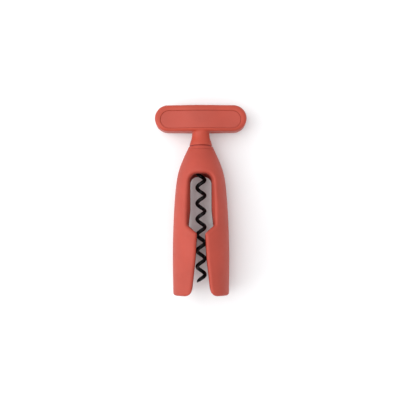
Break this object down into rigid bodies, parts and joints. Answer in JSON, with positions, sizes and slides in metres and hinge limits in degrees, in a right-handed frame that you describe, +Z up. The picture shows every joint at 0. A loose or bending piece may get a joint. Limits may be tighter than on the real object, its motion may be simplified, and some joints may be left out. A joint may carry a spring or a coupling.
{
  "type": "table corkscrew",
  "caption": "Self-pulling table corkscrew: a T-handle turns a helical worm inside a bottle-shaped body with a cork window and legs that straddle a bottle's neck.",
  "frame": {"origin": "on the tool's axis, at the level of the leg ends, in the mouth of the bottle socket", "axes": "the tool lies on its back: +Y runs up the tool from the leg ends to the handle, +X along the handle, +Z up from the table, out of the front window"},
  "size_m": [0.0792, 0.1633, 0.0476],
  "materials": {
    "coral_body": "fine matte moulded",
    "coral_guide": "fine matte moulded",
    "coral_handle": "satin moulded",
    "coral_panel": "soft-touch matte",
    "red_acetal": "smooth bearing plastic",
    "black_coating": "low-friction black coating on steel wire",
    "anchor_brass": "turned",
    "pin_steel": "ground"
  },
  "bodies": {
    "body": {"body_shell": "coral_body", "cork_guide": "coral_guide", "neck_bush": "coral_body"},
    "washer": {"glide_washer": "red_acetal"},
    "handle": {"handle_core": "coral_handle", "front_panel": "coral_panel", "back_panel": "coral_panel", "worm": "black_coating", "worm_anchor": "anchor_brass", "anchor_pin": "pin_steel"}
  },
  "joints": [
    {"name": "handle_lift", "type": "slide", "parent": "body", "child": "washer", "axis": [0, 1, 0], "range_m": [0, 0.122]},
    {"name": "handle_turn", "type": "hinge", "parent": "washer", "child": "handle", "pos_m": [0, 0.1279, 0], "axis": [0, 1, 0], "continuous": true}
  ]
}
